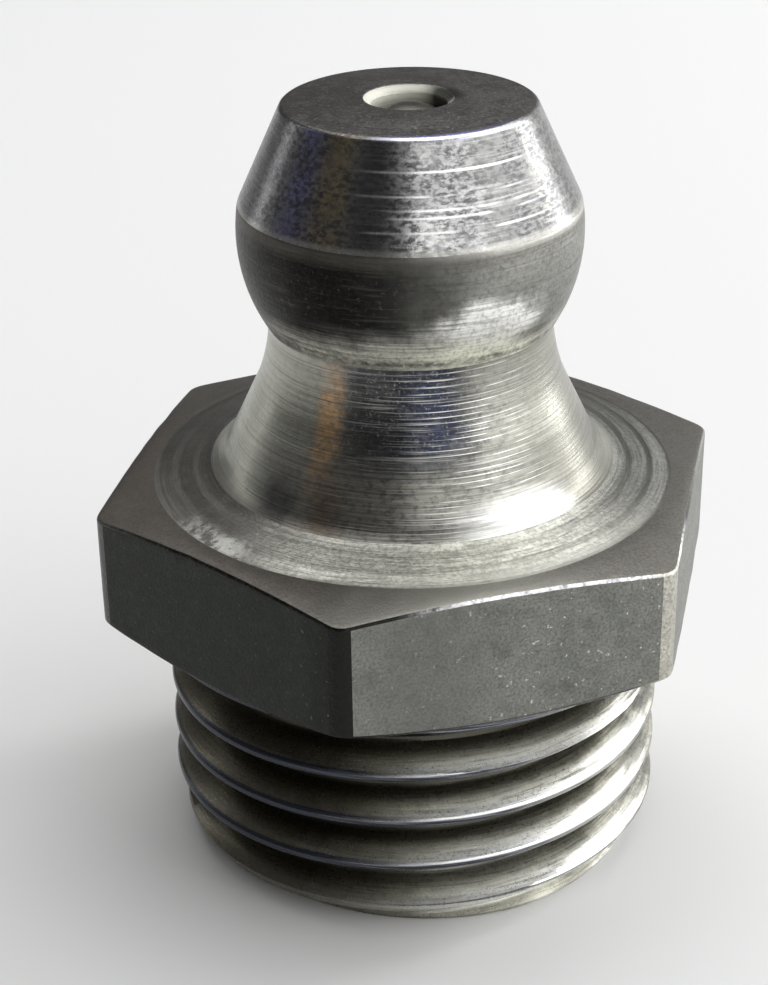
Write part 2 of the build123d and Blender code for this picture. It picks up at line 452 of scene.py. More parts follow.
def finish_top_face(metal, colours):
    """The crowned top face: dull, with painted shade by side and a painted rim highlight."""
    # Painted shade on the side away from the key lamp, painted light on the side facing it and
    # over the outer front.
    yield metal.side(-200, 80), colours.top_face_painted_shade
    yield metal.side(-20, 70) * 0.7, (0.27, 0.268, 0.25)
    yield metal.side(-85, 60) * metal.radius.step(0.9, 1.9) * 0.6, (0.25, 0.25, 0.24)
    yield metal.spots(0.6, 0.35, 0.75) * 0.7, (0.1, 0.088, 0.088)
    yield metal.spots(0.25, 0.5, 0.7) * 0.5, (0.3, 0.29, 0.28)
    yield metal.spots(0.1, 0.45, 0.7) * 0.6, (0.09, 0.09, 0.085)
    yield metal.spots(0.07, 0.58, 0.7) * 0.8, (0.5, 0.5, 0.48)
    yield metal.lines(0.06, 1.5, 0.5, 0.75) * 0.35, (0.08, 0.08, 0.08)
    inner = 1 - metal.radius.step(0.85, 1.15)
    yield metal.side(0, 60, 0.8) * inner, (0.05, 0.05, 0.045)
    # A painted highlight on the front-right of the rim, with a painted blue fringe inside it.
    edge = metal.radius + (metal.speck - 0.5) * 0.05
    yield edge.step(2.14, 2.26) * metal.side(-88, 42, 0.5) * 0.8, (0.42, 0.42, 1)
    yield edge.step(2.25, 2.29) * metal.side(-84, 46, 0.6) * 1.6, (1, 1, 1)
    rust = metal.noise((7, 7, 7), 3, 0.6, (4, 0, 0)).step(0.56, 0.66)
    outer = metal.radius.step(1.9, 2.3) * metal.side(-150, 60, 0.6)
    yield rust * outer * 0.8, (0.11, 0.06, 0.045)
    metal.turned(0.32, 0.006, 0.1, 0, 0.6)


def finish_cone(metal, colours):
    """The head's cone, scored: painted highlights on the lit side, painted blue and brown
    reflections beside.
    """
    # Painted reflections on the lit side: bright in front, a darker patch, a highlight streak,
    # darker beyond.
    yield metal.side(-94, 26, 0.4) * 1.6, (0.8, 0.8, 0.79)
    yield metal.side(-72, 24, 0.4) * 1.4, (0.26, 0.26, 0.25)
    yield metal.side(-54, 5), (0.42, 0.415, 0.38)
    yield metal.side(-40, 18, 0.2), (0.22, 0.22, 0.205)
    # Painted reflections on the far side: darker, a grey streak, blue and brown bands, a dark
    # band.
    yield metal.side(-190, 40, 0.2), (0.14, 0.14, 0.135)
    yield metal.side(-167, 10, 0.5) * 0.7, (0.36, 0.36, 0.37)
    yield metal.side(-151, 12, 0.7) * 0.9, colours.cone_blue
    yield metal.side(-137, 13, 0.5) * 1.2, colours.cone_brown
    yield metal.side(-122, 12, 0.6), (0.1, 0.1, 0.1)
    yield metal.spots(0.8, 0.3, 0.65, 1.4) * 0.45, (0.15, 0.15, 0.16)
    dark = metal.spots(0.13, 0.4, 0.6, 1.8) * metal.spots(0.9, 0.3, 0.55)
    yield dark * 0.9, (0.09, 0.088, 0.095)
    # Painted glints on the turned lines of the lit side.
    bright_side = metal.side(-84, 58)
    yield metal.lines(0.05, 2, 0.5, 0.7) * bright_side * 0.22, (0.95, 0.95, 0.94)
    # Scratches at listed heights, painted white as glints on the front only.
    scores_and_glints = sum(metal.level(height, 0.03) for height in (14.48, 14.1, 13.88, 13.76, 13.53))
    broken = metal.noise((0.8, 0.8, 3), 2).step(0.4, 0.55)
    yield scores_and_glints * broken * metal.side(-92, 45) * 1.2, (1, 1, 1)
    yield metal.level(13.2, 0.09, 0.4) * 0.6, (0.5, 0.49, 0.45)
    # A painted highlight along the rim on the front-right.
    yield metal.level(14.98, 0.05, 0.3) * metal.side(-84, 46) * 1.5, (0.8, 0.8, 0.95)
    metal.turned(0.25, 0.006, 0.06, 0.3, 0.25)


def finish_ball_head(metal, colours):
    """The ball head: dark, satin, a painted highlight low on the lit side, a painted pale lower
    edge.
    """
    # Painted shade on the side away from the key lamp, painted light on the side facing it.
    yield metal.side(-135, 85, 0.4) * 2.2, colours.ball_head_painted_shade
    yield metal.side(-44, 82, 0.4) * 1.6, (0.29, 0.29, 0.268)
    # A lighter painted reflection at the far-left edge.
    yield metal.side(-190, 55, 0.8) * 0.5, (0.075, 0.075, 0.066)
    yield metal.spots(0.5, 0.45, 0.75, 2) * 0.15, (0.07, 0.068, 0.06)
    streaks = metal.lines(0.045, 2.5, 0.3, 0.65, 3)
    # Painted light beside the highlight, a painted glow, and a painted highlight low on the lit
    # side.
    beside = metal.side(-50, 24, 0.6) * metal.level(11.5, 0.8, 0.6)
    yield beside * 0.6, (0.22, 0.22, 0.2)
    glow = metal.side(-88, 34, 0.8) * metal.level(11.35, 0.65, 0.8)
    yield glow * (0.1 + streaks), (0.75, 0.75, 0.7)
    wear_and_highlight = metal.side(-80, 24, 1.3) * metal.level(11.5, 0.85, 1.3)
    yield wear_and_highlight * (0.3 + streaks * 1.3) * 1.9, (1, 1, 0.97)
    # A pale painted reflection low in front and round the lower edge.
    low = metal.side(-105, 60, 0.6) * metal.level(11.1, 0.8, 0.8)
    yield low * (0.1 + streaks), (0.36, 0.36, 0.33)
    band = metal.level(10.98, 0.62, 0.6)
    yield band * metal.side(-103, 85, 0.4) * (0.9 + streaks), (1, 1, 0.88)
    # A dark streak beside the highlight.
    dark_streak = metal.side(-60, 16, 0.6) * metal.level(11.3, 0.22, 0.6)
    yield dark_streak * 0.8, (0.1, 0.1, 0.09)
    grime_and_shade = metal.level(11.0, 0.12, 0.8) * metal.spots(0.2, 0.4, 0.6)
    yield grime_and_shade * 0.7, (0.05, 0.045, 0.035)
    yield metal.lines(0.05, 1.2, 0.5, 0.75, 3) * 0.35, (0.02, 0.02, 0.018)
    yield metal.spots(0.09, 0.42, 0.7) * 0.4, (0.03, 0.03, 0.028)
    yield metal.spots(0.08, 0.57, 0.7) * 0.25, (0.17, 0.165, 0.15)
    yield metal.lines(0.06, 1.2, 0.54, 0.7) * 0.25, (0.13, 0.128, 0.115)
    yield metal.level(13.12, 0.32, 0.6) * 0.55, (0.13, 0.122, 0.105)
    # A painted highlight along the ridge on the lit side.
    yield metal.level(13.15, 0.14, 0.5) * metal.side(-45, 80), (0.5, 0.5, 0.46)
    metal.turned(0.4, 0.01, 0.05, 0.2, 0.5)


def finish_neck(metal, colours):
    """The neck and flare: fine turned lines; painted dark front, copper reflection and foot
    highlight.
    """
    # Painted reflections: lighter on the lit side, darker low on it, lighter on the far left.
    yield metal.side(-60, 40), (0.33, 0.325, 0.285)
    lower = 1 - metal.z.step(8.6, 9.8)
    yield metal.side(-50, 45) * lower * 1.3, (0.23, 0.225, 0.195)
    yield metal.side(-200, 60), (0.45, 0.45, 0.395)
    # A painted dark reflection over the upper front, deep blue in the middle.
    upper = metal.z.step(8.6, 9.9)
    yield metal.side(-110, 38, 0.5) * upper * 1.6, (0.034, 0.036, 0.042)
    yield metal.side(-100, 16, 0.7) * metal.level(10.0, 1.2, 0.6), (0.045, 0.055, 0.1)
    shadow = metal.side(-151, 13, 0.7) * metal.level(8.25, 0.9, 0.6)
    yield shadow * 0.8, (0.1, 0.098, 0.1)
    # A painted copper reflection in a band, brown low down, with a darker painted band beside it.
    mottle = 0.45 + metal.spots(0.12, 0.35, 0.6, 0.7)
    painted_reflection = metal.side(-139, 8, 0.9) * metal.level(9.7, 1.5, 0.4)
    yield painted_reflection * mottle, colours.neck_copper
    foot = metal.side(-134, 11, 0.5) * (1 - metal.z.step(8.4, 9.4))
    yield foot * 0.8, (0.16, 0.11, 0.07)
    yield metal.side(-123, 14, 0.5) * 0.4, (0.13, 0.125, 0.12)
    middle = metal.side(-105, 62, 0.4)
    pale = metal.spots(0.3, 0.45, 0.7, 1.3) * metal.spots(0.09, 0.35, 0.6)
    yield pale * middle * 0.4, (0.3, 0.3, 0.28)
    yield metal.spots(0.16, 0.45, 0.65, 1.3) * (0.1 + middle * 0.5), (0.06, 0.06, 0.065)
    yield metal.lines(0.032, 4, 0.44, 0.64) * (0.25 + middle * 0.3), (0.04, 0.04, 0.042)
    # Painted glints in front: bright flecks and lines, and bright tool grooves on the lit side.
    yield metal.spots(0.06, 0.55, 0.68) * middle * upper * 0.45, (0.5, 0.5, 0.5)
    yield metal.lines(0.035, 1.5, 0.54, 0.7) * middle * 0.6, (0.6, 0.6, 0.57)
    yield metal.grooves(0.1, 0.82, 1) * metal.side(-88, 38, 0.8), (0.95, 0.95, 0.92)
    # A painted highlight at the flare's foot on the lit side.
    glare = metal.side(-77, 25, 0.4) * metal.level(8.0, 0.65, 0.5)
    yield glare * (0.8 + metal.lines(0.05, 2)) * 1.2, (1, 1, 0.97)
    metal.turned(0.28, 0.008, 0.045, 0.2, 0.1)


def finish_ring(metal, colours):
    """The turned ring: rough, painted pale in front, tone bands for the tool's waves, a smeared
    burr.
    """
    # Painted reflections: pale in front and lighter on the right.
    yield metal.side(-95, 70, 0.4) * 1.4, (0.95, 0.95, 0.86)
    yield metal.side(-15, 60), (0.4, 0.4, 0.37)
    # The tool's waves as tone bands, painted as their reflection, strongest on the right and left.
    waves = (metal.radius * 15 + metal.cloud * 2).sine().step(0.1, 0.9)
    yield waves * (0.2 + metal.side(-12, 50) * 0.75), (0.11, 0.11, 0.1)
    yield waves * metal.side(-185, 45) * 0.6, (0.24, 0.235, 0.22)
    yield metal.spots(0.35, 0.35, 0.75, 2) * 0.4, (0.22, 0.22, 0.2)
    yield metal.spots(0.08, 0.42, 0.62) * 0.4, (0.14, 0.14, 0.125)
    # Painted glints in front.
    yield metal.spots(0.07, 0.55, 0.68) * metal.side(-100, 50) * 0.5, (0.8, 0.8, 0.74)
    # A lighter painted reflection round the outer edge on the left.
    yield metal.side(-178, 30) * metal.radius.step(4.6, 4.9) * 0.6, (0.3, 0.29, 0.27)
    yield metal.lines(0.05, 1, 0.46, 0.7) * 0.45, (0.1, 0.1, 0.09)
    # A lighter painted reflection round the outer edge in front.
    yield metal.radius.step(4.5, 5.05) * metal.side(-85, 60) * 0.75, (0.42, 0.42, 0.38)
    burr = metal.side(-155, 15, 1.2) * metal.radius.step(4.5, 4.85)
    yield burr * metal.spots(0.22, 0.38, 0.58) * 1.5, (0.55, 0.55, 0.51)
    metal.turned(0.4, 0.014, 0.07, 0.2, 0.5)


def finish_thread(metal, colours):
    """The thread: yellowish flanks, painted highlights near crests, painted dark crests, painted
    root shade.
    """
    # Painted light in front and on the right, painted shade on the side away from the key lamp.
    yield metal.side(-95, 35, 0.4) * 0.7, (0.85, 0.85, 0.78)
    yield metal.side(-20, 35, 0.4) * 0.7, (0.45, 0.44, 0.39)
    yield metal.side(-168, 76, 0.4) * 1.7, colours.thread_painted_shade
    yield metal.side(-185, 22, 0.5) * metal.z.step(2.6, 3.6) * 0.7, (0.19, 0.16, 0.12)
    yield metal.spots(0.35, 0.4, 0.75, 1.5) * 0.35, (0.2, 0.19, 0.16)
    right = metal.side(-35, 65)
    yield metal.spots(0.5, 0.4, 0.6, 2) * right * 0.9, (0.2, 0.2, 0.18)
    yield metal.lines(0.14, 1.5, 0.42, 0.58) * right * 0.8, (0.17, 0.17, 0.155)
    yield metal.lines(0.04, 1.5, 0.48, 0.66) * 0.5, (0.14, 0.14, 0.12)
    ragged = metal.radius + (metal.speck - 0.5) * 0.05
    streaks = metal.lines(0.06, 1.2, 0.35, 0.55)
    # A painted highlight on the flanks near the crests on the lit side.
    shine = ragged.step(4.62, 4.8) * metal.side(-78, 45, 0.4)
    yield shine * streaks * 1.3, (1, 1, 0.95)
    above = metal.upward.step(0.05, 0.35)
    # Crests painted dark as a reflection, with a painted highlight on their upper edge on the lit
    # side.
    crest = ragged.step(4.86, 4.91) * metal.side(-130, 105, 0.2) * 1.6
    yield crest * (1 - above * metal.side(-85, 50)) * 0.95, (0.05, 0.055, 0.068)
    highlit = ragged.step(4.8, 4.88) * above * metal.side(-82, 48, 0.5)
    yield highlit * (0.5 + streaks), (1, 1, 0.98)
    # Glints painted on the scratch lines of the front crests.
    scores_and_glints = metal.lines(0.03, 2, 0.5, 0.62) * metal.side(-92, 50)
    yield crest * scores_and_glints * 0.4, (0.5, 0.52, 0.6)
    # Painted shade in the roots, left out low on the lit side and lighter near the end.
    lit_lower_right = metal.side(-62, 52) * (1 - metal.z.step(0.5, 1))
    grime_and_shade = (1 - ragged.step(4.45, 4.87)) * metal.z.step(0.02, 0.1) * (1 - lit_lower_right)
    low = 1 - metal.z.step(0.6, 1.8)
    yield grime_and_shade * (0.92 - low * 0.25), (0.032, 0.03, 0.02)
    end = 1 - metal.z.step(0.004, 0.02)
    yield end, (0.42, 0.41, 0.36)
    yield end * metal.lines(0.08, 1.5, 0.45, 0.7) * 0.6, (0.2, 0.195, 0.17)
    metal.turned(0.26, 0.006, 0.045, 0.2, 0.1)


def finish_bore(metal, colours):
    """The inlet, seat and bore: pale plating, shadowed on one side of the inlet."""
    inlet = metal.z.step(13.6, 14)
    yield metal.side(10, 55, 0.4) * inlet * 1.3, (0.04, 0.04, 0.035)
    yield 1 - inlet, (0.3, 0.29, 0.25)
    yield metal.lines(0.05, 2, 0.5, 0.7) * 0.3, (0.3, 0.29, 0.24)
    metal.turned(0.42, 0.006, 0.06, 0, 0.4)
    metal.shade(Metallic=0.2)


def finish_drawn(metal, shade_tone, glint_strength, turn):
    """A face of the hexagon bar: matte, with painted shade on one side, dirt and painted glints.
    """
    deep = tuple(c * 0.6 for c in shade_tone)
    # Painted shade on the side away from the key lamp, and a darker painted band by the front
    # corner.
    yield metal.facing(180).step(*turn), shade_tone
    yield metal.side(-123, 5) * 0.7, deep
    grime_and_shade = metal.noise((18, 18, 18), 4, 0.7, (3, 1, 0))
    yield metal.spots(0.3, 0.4, 0.75) * 0.3, tuple(c * 1.7 for c in shade_tone)
    yield grime_and_shade.step(0.38, 0.7) * 0.5, deep
    yield metal.cloud.step(0.4, 0.75) * 0.25, deep
    # Painted glints, mostly on the lit side.
    glints = metal.noise((9, 9, 9), 2, 0.55).step(0.66, 0.75) * (0.05 + metal.side(-65, 75))
    yield glints * glint_strength, (0.8, 0.8, 0.76)
    metal.shade(Roughness=0.36 + grime_and_shade * 0.2, Metallic=1.0)
    metal.bump(grime_and_shade * 0.5 + metal.speck * 0.5, 0.01)


def finish_end_face(metal, colours):
    """The hexagon's upper end face, painted a little brighter in front."""
    yield from finish_drawn(metal, colours.end_face_painted_shade, 0.1, (-0.2, 0.9))
    yield metal.side(-100, 34, 0.5) * 0.9, (0.36, 0.355, 0.32)


def finish_flats(metal, colours):
    """The hexagon's flats: painted shade on one side, less on the back-left flat, darkest by the
    front corner.
    """
    yield from finish_drawn(metal, colours.flats_painted_shade, 0.75, (0.48, 0.52))
    # The painted shade halved on the back-left flat, and painted shade on the right flat by the
    # front corner.
    yield metal.facing(150).step(0.85, 0.88) * 0.5, colours.flats
    front = metal.side(-106, 16, 0.6) * (1 - metal.facing(180).step(0.48, 0.52))
    yield front * 0.5, (0.13, 0.132, 0.122)


def finish_edges(metal, colours):
    """Rounded edges round the flats: painted dark in front, painted highlights on the lit side."""
    # Painted dark in front: the flats' tone only where the edges face the back.
    yield metal.facing(75).step(-0.6, 0.2), colours.flats
    # Painted highlights on the lit side: along the upper edge, along the lower edge, at one
    # corner.
    upper = metal.z.step(6.9, 7.2)
    uneven = 0.35 + metal.spots(0.22, 0.38, 0.56)
    yield metal.side(-76, 36, 0.5) * upper * uneven * 2, colours.edge_highlight
    yield metal.side(-85, 34) * (1 - upper) * 0.5, (0.16, 0.16, 0.15)
    yield metal.side(-60, 7, 0.5), (0.55, 0.535, 0.46)
    yield metal.spots(0.08, 0.42, 0.65) * metal.side(-70, 40) * 0.6, (0.16, 0.15, 0.17)
    metal.shade(Roughness=0.3 + metal.speck * 0.15, Metallic=1.0)
    metal.bump(metal.spots(0.12), 0.01)


# The finish of each of the body's surfaces.
FINISHES = {
    "top_face": finish_top_face,
    "cone": finish_cone,
    "ball_head": finish_ball_head,
    "neck": finish_neck,
    "ring": finish_ring,
    "end_face": finish_end_face,
    "flats": finish_flats,
    "edges": finish_edges,
    "thread": finish_thread,
    "bore": finish_bore,
}


def plated(name, colours):
    """The material of one of the body's surfaces, coat over coat."""
    metal = Plating(name)
    tone = getattr(colours, name)
    for mask, coat in FINISHES[name](metal, colours):
        tone = metal.mix(mask, tone, coat)
    metal.shade(Base_Color=tone)
    return metal.material


class Outline:
    """Half of a turned part's outline: a chain of edges in the XZ plane, in millimetres."""

    def __init__(self, mesh, radius, height):
        self.mesh = mesh
        self.tip = mesh.verts.new((radius, 0, height))
        self.corners = []

    def line(self, radius, height, cuts=0):
        """A straight edge to that point, cut into several. Returns its points."""
        start, end = self.tip.co.copy(), Vector((radius, 0, height))
        points = []
        for step in range(1, cuts + 2):
            self.tip = bmesh.ops.extrude_vert_indiv(self.mesh, verts=[self.tip])["verts"][0]
            self.tip.co = start.lerp(end, step / (cuts + 1))
            points.append(self.tip)
        return points

    def corner(self, radius, height, rounding, steps=3, cuts=0):
        """A straight edge to a corner that is rounded off at the end."""
        self.line(radius, height, cuts)
        self.corners.append((self.tip, rounding, steps))

    def arc(self, radius, height, turn, steps):
        """An arc about that centre."""
        centre, axis = (radius, 0, height), (0, 1, 0)
        bmesh.ops.spin(
            self.mesh, geom=[self.tip], cent=centre, axis=axis, angle=turn, steps=steps
        )
        self.mesh.verts.ensure_lookup_table()
        self.tip = self.mesh.verts[-1]

    def round_corners(self):
        """Rounds each corner to its radius."""
        for corner, radius, steps in self.corners:
            before, after = (edge.other_vert(corner).co - corner.co for edge in corner.link_edges)
            reach = radius / tan(before.angle(after) / 2)
            bmesh.ops.bevel(
                self.mesh, geom=[corner], offset=reach, offset_type="OFFSET", segments=steps,
                profile=0.5, affect="VERTICES", material=-1,
            )


def finished(mesh, name, body, materials, nodes, smooth=40):
    """Turns the built mesh, in millimetres, into a piece that rides on a body."""
    bmesh.ops.recalc_face_normals(mesh, faces=mesh.faces)
    bmesh.ops.scale(mesh, vec=(MM, MM, MM), verts=mesh.verts)
    for face in mesh.faces:
        face.smooth = True
    data = bpy.data.meshes.new(name)
    mesh.to_mesh(data)
    mesh.free()
    data.set_sharp_from_angle(angle=radians(smooth))
    for material in materials:
        data.materials.append(material)
    piece = bpy.data.objects.new(name, data)
    bpy.context.scene.collection.objects.link(piece)
    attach(piece, body)
    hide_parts(*nodes)
    return piece


def millimetres(settings):
    """The settings' sizes in millimetres, and their angles as they are."""
    sizes = {}
    for key, prop in settings.bl_rna.properties.items():
        if key in ("rna_type", "name"):
            continue
        value = getattr(settings, key)
        sizes[key] = value / MM if getattr(prop, "unit", "NONE") == "LENGTH" else value
    return SimpleNamespace(**sizes)


def everything(mesh):
    """All of a mesh's points, edges and faces."""
    return mesh.verts[:] + mesh.edges[:] + mesh.faces[:]


def wind(mesh, outline, turn, rise, steps):
    """Spins an outline round Z as it climbs. Returns the outline at the end."""
    return bmesh.ops.spin(
        mesh, geom=outline, cent=(0, 0, 0), axis=(0, 0, 1), angle=turn,
        dvec=(0, 0, rise / steps), steps=steps,
    )["geom_last"]


def full_turn(mesh, rise=0.0):
    """Turns the outline right round Z as it climbs: spins an eighth and doubles it three times."""
    wind(mesh, everything(mesh), TURN / 8, rise / 8, BODY_STEPS // 8)
    for share in (1 / 8, 1 / 4, 1 / 2):
        made = bmesh.ops.duplicate(mesh, geom=everything(mesh))["geom"]
        points = [item for item in made if isinstance(item, bmesh.types.BMVert)]
        turn = Matrix.Rotation(TURN * share, 3, "Z")
        bmesh.ops.rotate(mesh, verts=points, cent=(0, 0, 0), matrix=turn)
        bmesh.ops.translate(mesh, verts=points, vec=(0, 0, rise * share))
    bmesh.ops.remove_doubles(mesh, verts=mesh.verts, dist=SAME_POINT)


def neck_top(head):
    """Height at which the neck meets the ball head."""
    lip = head.neck_radius + head.neck_lip
    return head.ball_height - sqrt(head.ball_radius**2 - lip**2)


def relief_middle(thread):
    """Height of the relief groove's middle, where the body's outline starts."""
    return (thread.relief_floor + thread.relief_top) / 2


def flare_foot(head, hexagon):
    """Radius and height at which the flare's and the ring's lines meet."""
    slope, fall = tan(head.flare_angle), tan(head.ring_angle)
    reach = head.flare_top - hexagon.top - head.ring_radius * fall
    radius = (head.neck_radius + reach * slope) / (1 - fall * slope)
    return radius, hexagon.top + (head.ring_radius - radius) * fall


def body_outline(mesh, head, bore, hexagon, thread):
    """The body's outline: from the relief groove over the head and down the bore to the end."""
    pen = Outline(mesh, thread.relief_radius, relief_middle(thread))
    pen.corner(thread.relief_radius, thread.relief_top, 0.06)
    pen.corner(thread.seat_inner_radius, hexagon.collar_foot, 0.03)
    pen.corner(hexagon.foot_bevel_radius, hexagon.collar_foot, 0.04)

    flange = hexagon.across_flats / 2 + FLANGE_SPARE
    edge = hexagon.edge
    pen.line(hexagon.foot_bevel_radius, hexagon.foot)
    pen.line(flange - 2 * edge, hexagon.foot)
    pen.corner(flange, hexagon.foot, edge, 4)
    pen.line(flange, hexagon.foot + 2.5 * edge)
    pen.line(flange, hexagon.top - 2.5 * edge, cuts=3)
    pen.corner(flange, hexagon.top, edge, 4)
    pen.line(flange - 2.5 * edge, hexagon.top)
    pen.line(hexagon.top_bevel_radius, hexagon.top)
    pen.line(head.ring_radius, hexagon.top)

    foot_radius, foot_height = flare_foot(head, hexagon)
    bend = (pi / 2 - head.flare_angle - head.ring_angle) / 2
    clear = 1.1 * head.foot_radius * tan(bend)
    ring_foot = foot_height - clear * tan(head.ring_angle)
    for point in pen.line(foot_radius + clear, ring_foot, cuts=20)[:-1]:
        wave = noise.noise((point.co.x * RING_WAVES, 0, 0))
        point.co.z += 2 * head.ring_wave * wave
    pen.corner(foot_radius, foot_height, head.foot_radius, 14)
    flare = Vector((foot_radius, foot_height)).lerp((head.neck_radius, head.flare_top), 0.4)
    pen.line(*flare)
    pen.corner(head.neck_radius, head.flare_top, head.neck_curve, 14)
    pen.line(head.neck_radius, neck_top(head))
    pen.line(head.neck_radius + head.neck_lip, neck_top(head))

    rim = Vector((head.top_radius, head.total_height - head.crown))
    ridge_height = rim.y - head.cone_height
    low, high = (
        asin((height - head.ball_height) / head.ball_radius)
        for height in (neck_top(head), ridge_height)
    )
    pen.arc(0, head.ball_height, low - high, 26)
    pen.corners.append((pen.tip, head.ridge_radius, 3))
    ridge = pen.tip.co.xz
    for share in (0.04, 0.35, 0.65, 0.93):
        pen.line(*ridge.lerp(rim, share))
    pen.corner(*rim, head.rim_radius, 5)
    pen.line(rim.x * 0.93, rim.y + head.crown * 0.1)
    pen.line(rim.x * 0.6, rim.y + head.crown * 0.72)

    pen.corner(bore.mouth_radius, head.total_height, 0.06)
    pen.corner(bore.inlet_radius, head.total_height - bore.mouth_depth, 0.05)
    pen.line(bore.inlet_radius, bore.seat_top)
    seat_depth = (bore.bore_radius - bore.inlet_radius) / tan(bore.seat_angle)
    pen.line(bore.bore_radius, bore.seat_top - seat_depth)
    pen.line(bore.bore_radius, bore.bore_foot)
    pen.line(bore.lip_radius, bore.bore_foot)
    pen.line(bore.lip_radius, bore.lip_foot)
    pen.corner(bore.outlet_radius, 0, 0.05)
    pen.line(bore.outlet_radius + 0.2, 0)
    pen.line(thread.relief_radius - 0.4, 0)
    pen.round_corners()


def press_hexagon(mesh, hexagon):
    """Presses the round flange to the hexagon's flats and rounded corners, with bevelled ends."""
    apothem = hexagon.across_flats / 2
    flange = apothem + FLANGE_SPARE
    half_side = TURN / 12
    rounding = hexagon.corner_radius
    centre = (apothem - rounding) / cos(half_side)
    tangent = atan2(rounding / 2, centre + rounding * cos(half_side))
    for vertex in mesh.verts:
        reach = vertex.co.xy.length
        if reach < flange - 3 * hexagon.edge - SAME_POINT:
            continue
        side = atan2(vertex.co.y, vertex.co.x)
        turn = abs((side + half_side) % (2 * half_side) - half_side)
        if turn < tangent:
            aside = centre * sin(turn)
            flat = centre * cos(turn) + sqrt(rounding**2 - aside**2)
        else:
            flat = apothem / cos(half_side - turn)
        radius = flat - (flange - reach)
        share = (vertex.co.z - hexagon.foot) / (hexagon.top - hexagon.foot)
        upper = share > 0.5
        if upper:
            fall = (radius - hexagon.top_bevel_radius) * tan(hexagon.top_bevel_angle)
        else:
            fall = -(radius - hexagon.foot_bevel_radius) * tan(hexagon.foot_bevel_angle)
            share = 1 - share
        wear = hexagon.edge_wave * noise.noise((side * EDGE_WAVES, share, upper)) * (share > 0.9)
        vertex.co.z -= fall * min(1, max(0, share * 2 - 1))
        vertex.co.x = cos(side) * (radius + wear)
        vertex.co.y = sin(side) * (radius + wear)


def thread_outline(mesh, thread):
    """The thread's outline over its whole length and a pitch more at each end."""
    crest = thread.pitch / 16
    vee = thread.radius - (thread.pitch / 2 - crest) / tan(THREAD_TILT)
    root_radius = thread.radius - thread.depth - vee
    height = thread.crest_height - 3 * thread.pitch
    pen = Outline(mesh, vee, height - thread.pitch / 2)
    while height < thread.relief_top + 2 * thread.pitch:
        pen.corner(thread.radius, height - crest, thread.crest_wear, 2, cuts=3)
        pen.corner(thread.radius, height + crest, thread.crest_wear, 2)
        pen.corner(vee, height + thread.pitch / 2, root_radius, 6, cuts=3)
        height += thread.pitch
    pen.corners.pop()
    pen.round_corners()


def cut_level(mesh, height, clear=0):
    """Cuts the mesh level at that height, and clears what is above it, or below it for -1."""
    bmesh.ops.bisect_plane(
        mesh, geom=everything(mesh), dist=ON_PLANE, plane_co=(0, 0, height),
        plane_no=(0, 0, clear or 1), clear_outer=bool(clear),
    )


def cut_thread(mesh, thread):
    """Screws the thread's outline round, cuts it to length, turns its lead-in and relief."""
    thread_outline(mesh, thread)
    full_turn(mesh, thread.pitch)
    cut_level(mesh, 0, -1)
    cut_level(mesh, relief_middle(thread) - RELIEF_JOIN, 1)
    for height in (thread.lead_in_height, thread.relief_start, thread.relief_floor):
        cut_level(mesh, height)
    lead = (thread.radius - thread.lead_in_radius) / thread.lead_in_height
    relief = (thread.radius - thread.relief_radius) / (thread.relief_floor - thread.relief_start)
    for vertex in mesh.verts:
        radius = vertex.co.xy.length
        groove = thread.radius - relief * max(0, vertex.co.z - thread.relief_start)
        lead_in = thread.lead_in_radius + lead * vertex.co.z
        limit = min(lead_in, max(thread.relief_radius, groove))
        if radius > limit:
            vertex.co.xy *= limit / radius


def end_loops(mesh, height):
    """The open edges at that height."""
    return [
        edge for edge in mesh.edges
        if edge.is_boundary and all(abs(end.co.z - height) < AT_HEIGHT for end in edge.verts)
    ]


def zone(face, head, bore, hexagon):
    """Which of the body's surfaces a face belongs to."""
    centre = face.calc_center_median()
    radius, height = centre.xy.length, centre.z
    rim_height = head.total_height - head.crown
    if radius < bore.bore_radius + 0.02 and height < head.total_height - 0.02:
        return "bore"
    if height > rim_height - head.rim_radius / 4:
        return "top_face"
    if height > rim_height - head.cone_height:
        return "cone"
    if height > neck_top(head) + AT_HEIGHT:
        return "ball_head"
    if height > hexagon.top + 5 * AT_HEIGHT and radius < head.ring_radius:
        foot_radius = flare_foot(head, hexagon)[0] + head.foot_radius / 4
        return "neck" if radius < foot_radius else "ring"
    if height < hexagon.foot + AT_HEIGHT:
        return "thread"
    if abs(face.normal.z) > LEVEL:
        return "end_face"
    side = atan2(face.normal.y, face.normal.x) * 360 / TURN
    return "flats" if abs(face.normal.z) < UPRIGHT and abs(side % 60 - 30) < 3 else "edges"


